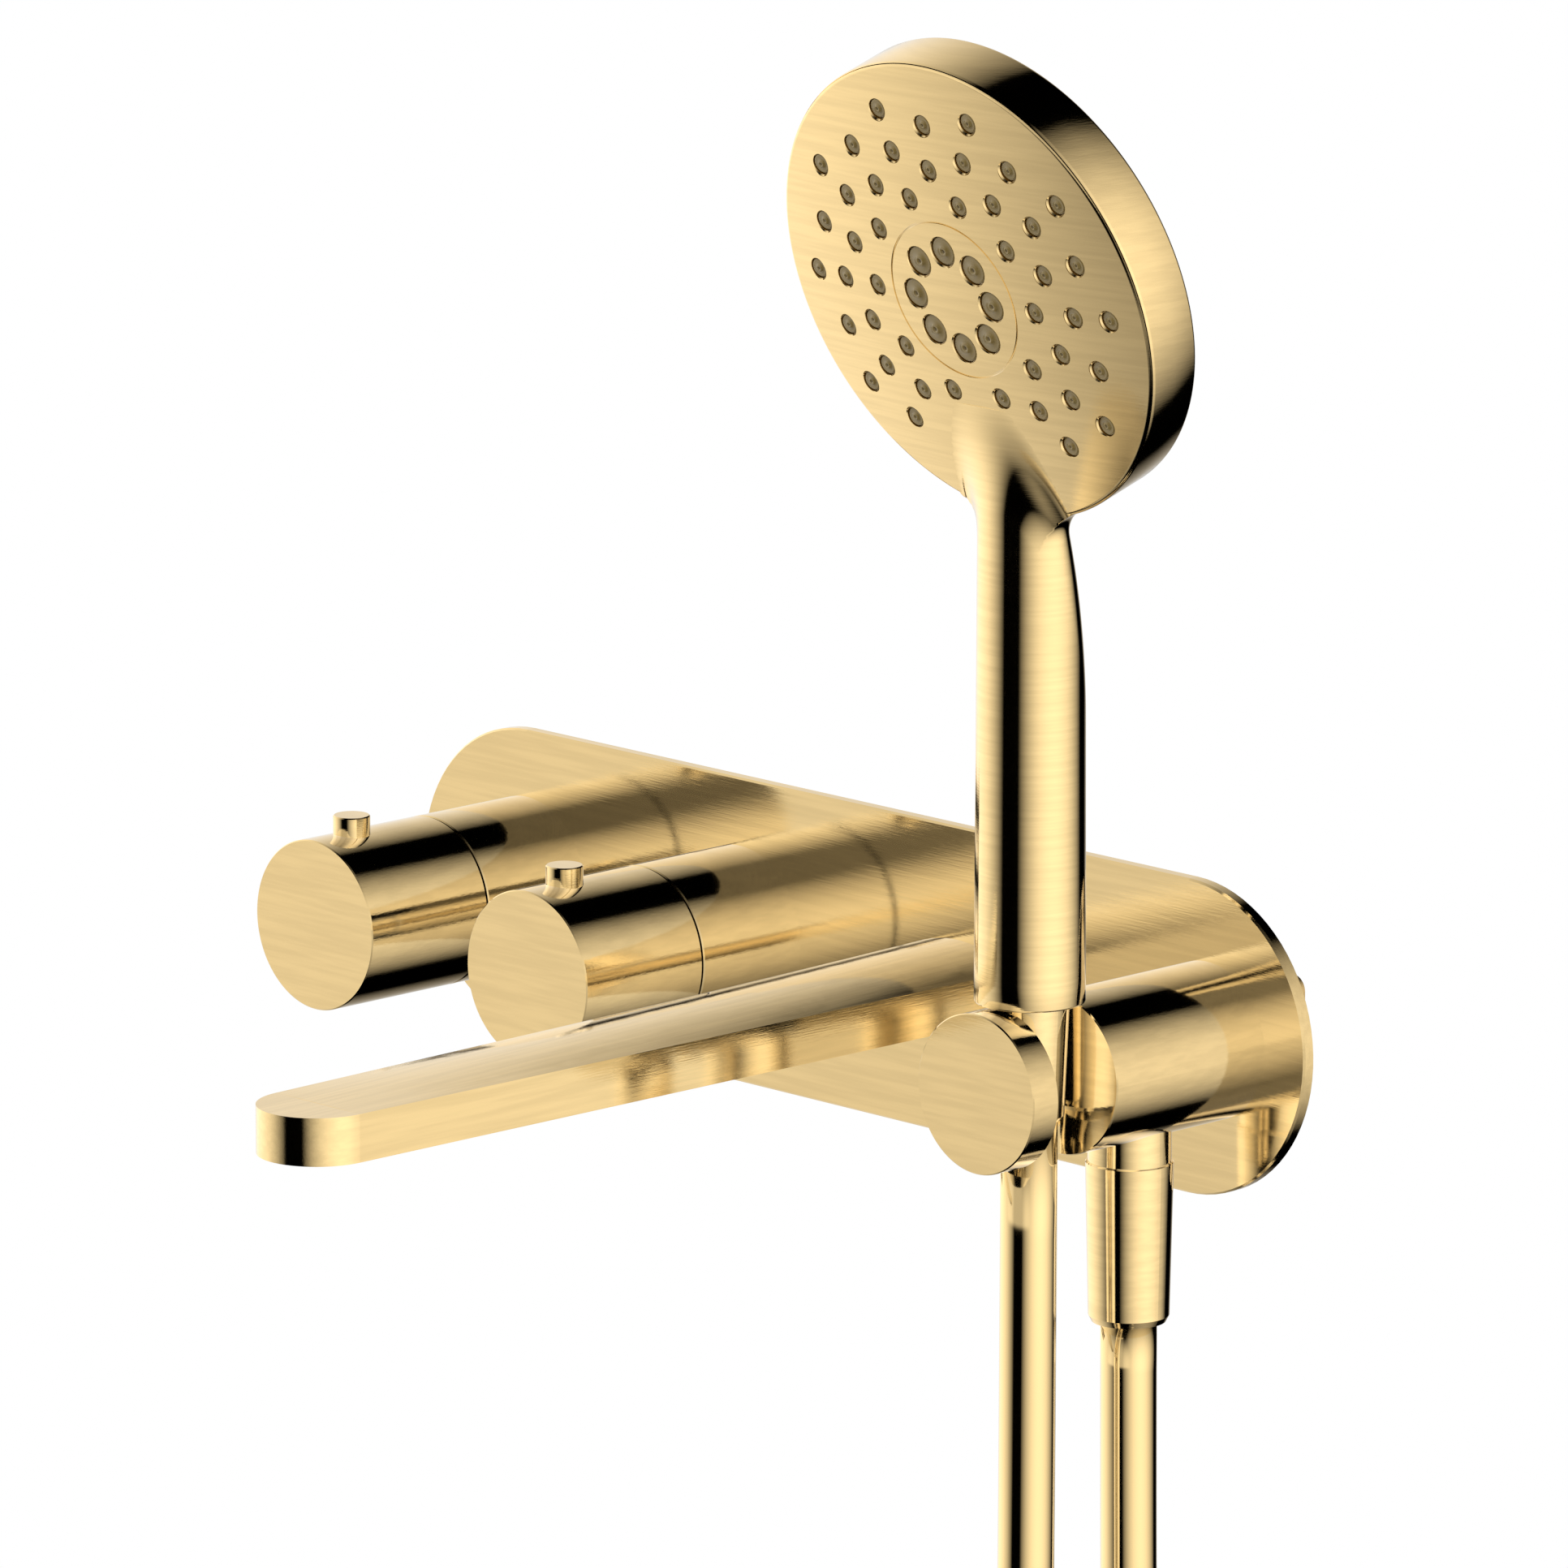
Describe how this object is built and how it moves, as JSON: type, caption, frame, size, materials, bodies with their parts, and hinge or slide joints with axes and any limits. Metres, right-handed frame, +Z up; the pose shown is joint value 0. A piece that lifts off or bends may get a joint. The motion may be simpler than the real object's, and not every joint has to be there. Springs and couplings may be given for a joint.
{
  "type": "wall mounted bath faucet",
  "caption": "Wall mounted bath faucet: rounded plate with knobs, a long flat bar spout, and a round slotted holder for a hand shower on a smooth hose.",
  "frame": {"origin": "on the finished wall, at the middle of the back of the wall plate", "axes": "+X to the right as seen from the room, -Y out of the wall into the room, +Z up"},
  "size_m": [0.3641, 0.291, 0.5999],
  "materials": {
    "gold": "brushed gold plating, nearly mirror bright",
    "gold_hose": "smooth bright gold hose skin",
    "brass": "raw machined",
    "steel": "stainless",
    "rubber": "matte black",
    "silicone": "glossy dark olive silicone",
    "ceramic": "lapped white ceramic",
    "plastic": "moulded light grey"
  },
  "bodies": {
    "wall_unit": {"aerator_housing": "gold", "aerator_screen": "steel", "aerator_washer": "rubber", "diverter_bearing_ring": "plastic", "diverter_cartridge": "plastic", "diverter_cartridge_nut": "brass", "diverter_collar": "gold", "diverter_fixed_disc": "ceramic", "diverter_spindle_seal": "rubber", "holder_body": "gold", "holder_nipple": "brass", "holder_o_ring": "rubber", "hose_coil": "gold_hose", "hose_ferrule_outlet": "steel", "hose_nut_outlet": "gold", "hose_run_front": "gold_hose", "hose_run_rear": "gold_hose", "hose_tie": "rubber", "inlet_check_valves": "brass", "inlet_filters": "steel", "outlet_check_valve": "plastic", "outlet_neck": "gold", "outlet_washer": "rubber", "plate_gasket": "rubber", "spout": "gold", "spout_nipple": "brass", "spout_o_ring": "rubber", "spout_set_screw": "steel", "temperature_bearing_ring": "plastic", "temperature_cartridge": "plastic", "temperature_cartridge_nut": "brass", "temperature_collar": "gold", "temperature_fixed_disc": "ceramic", "temperature_spindle_seal": "rubber", "valve_body": "brass", "wall_plate": "gold"},
    "temperature_control": {"temperature_knob": "gold", "temperature_grip_pin": "gold", "temperature_set_screw": "steel", "temperature_spindle": "steel", "temperature_moving_disc": "ceramic"},
    "diverter_control": {"diverter_knob": "gold", "diverter_grip_pin": "gold", "diverter_set_screw": "steel", "diverter_spindle": "steel", "diverter_moving_disc": "ceramic"},
    "handset_swivel": {"hose_nut_handset": "gold", "handset_washer": "rubber", "hose_ferrule_handset": "steel"},
    "handset": {"handset_body": "gold", "head_back_cover": "gold", "centre_disc": "gold", "nozzle_mat": "silicone", "centre_nozzle_mat": "silicone", "water_distributor": "plastic", "handset_inlet_insert": "plastic", "flow_regulator": "plastic"}
  },
  "joints": [
    {"name": "temperature_turn", "type": "hinge", "parent": "wall_unit", "child": "temperature_control", "pos_m": [-0.12, -0.06, 0], "axis": [0, 1, 0], "range_deg": [-150, 60]},
    {"name": "diverter_turn", "type": "hinge", "parent": "wall_unit", "child": "diverter_control", "pos_m": [-0.04, -0.06, 0], "axis": [0, 1, 0], "range_deg": [-90, 90]},
    {"name": "handset_lift", "type": "slide", "parent": "wall_unit", "child": "handset_swivel", "axis": [0, 0, 1], "range_m": [0, 0.12]},
    {"name": "handset_turn", "type": "hinge", "parent": "handset_swivel", "child": "handset", "pos_m": [0.1265, -0.0652, 0], "axis": [0, 0, 1], "continuous": true}
  ]
}
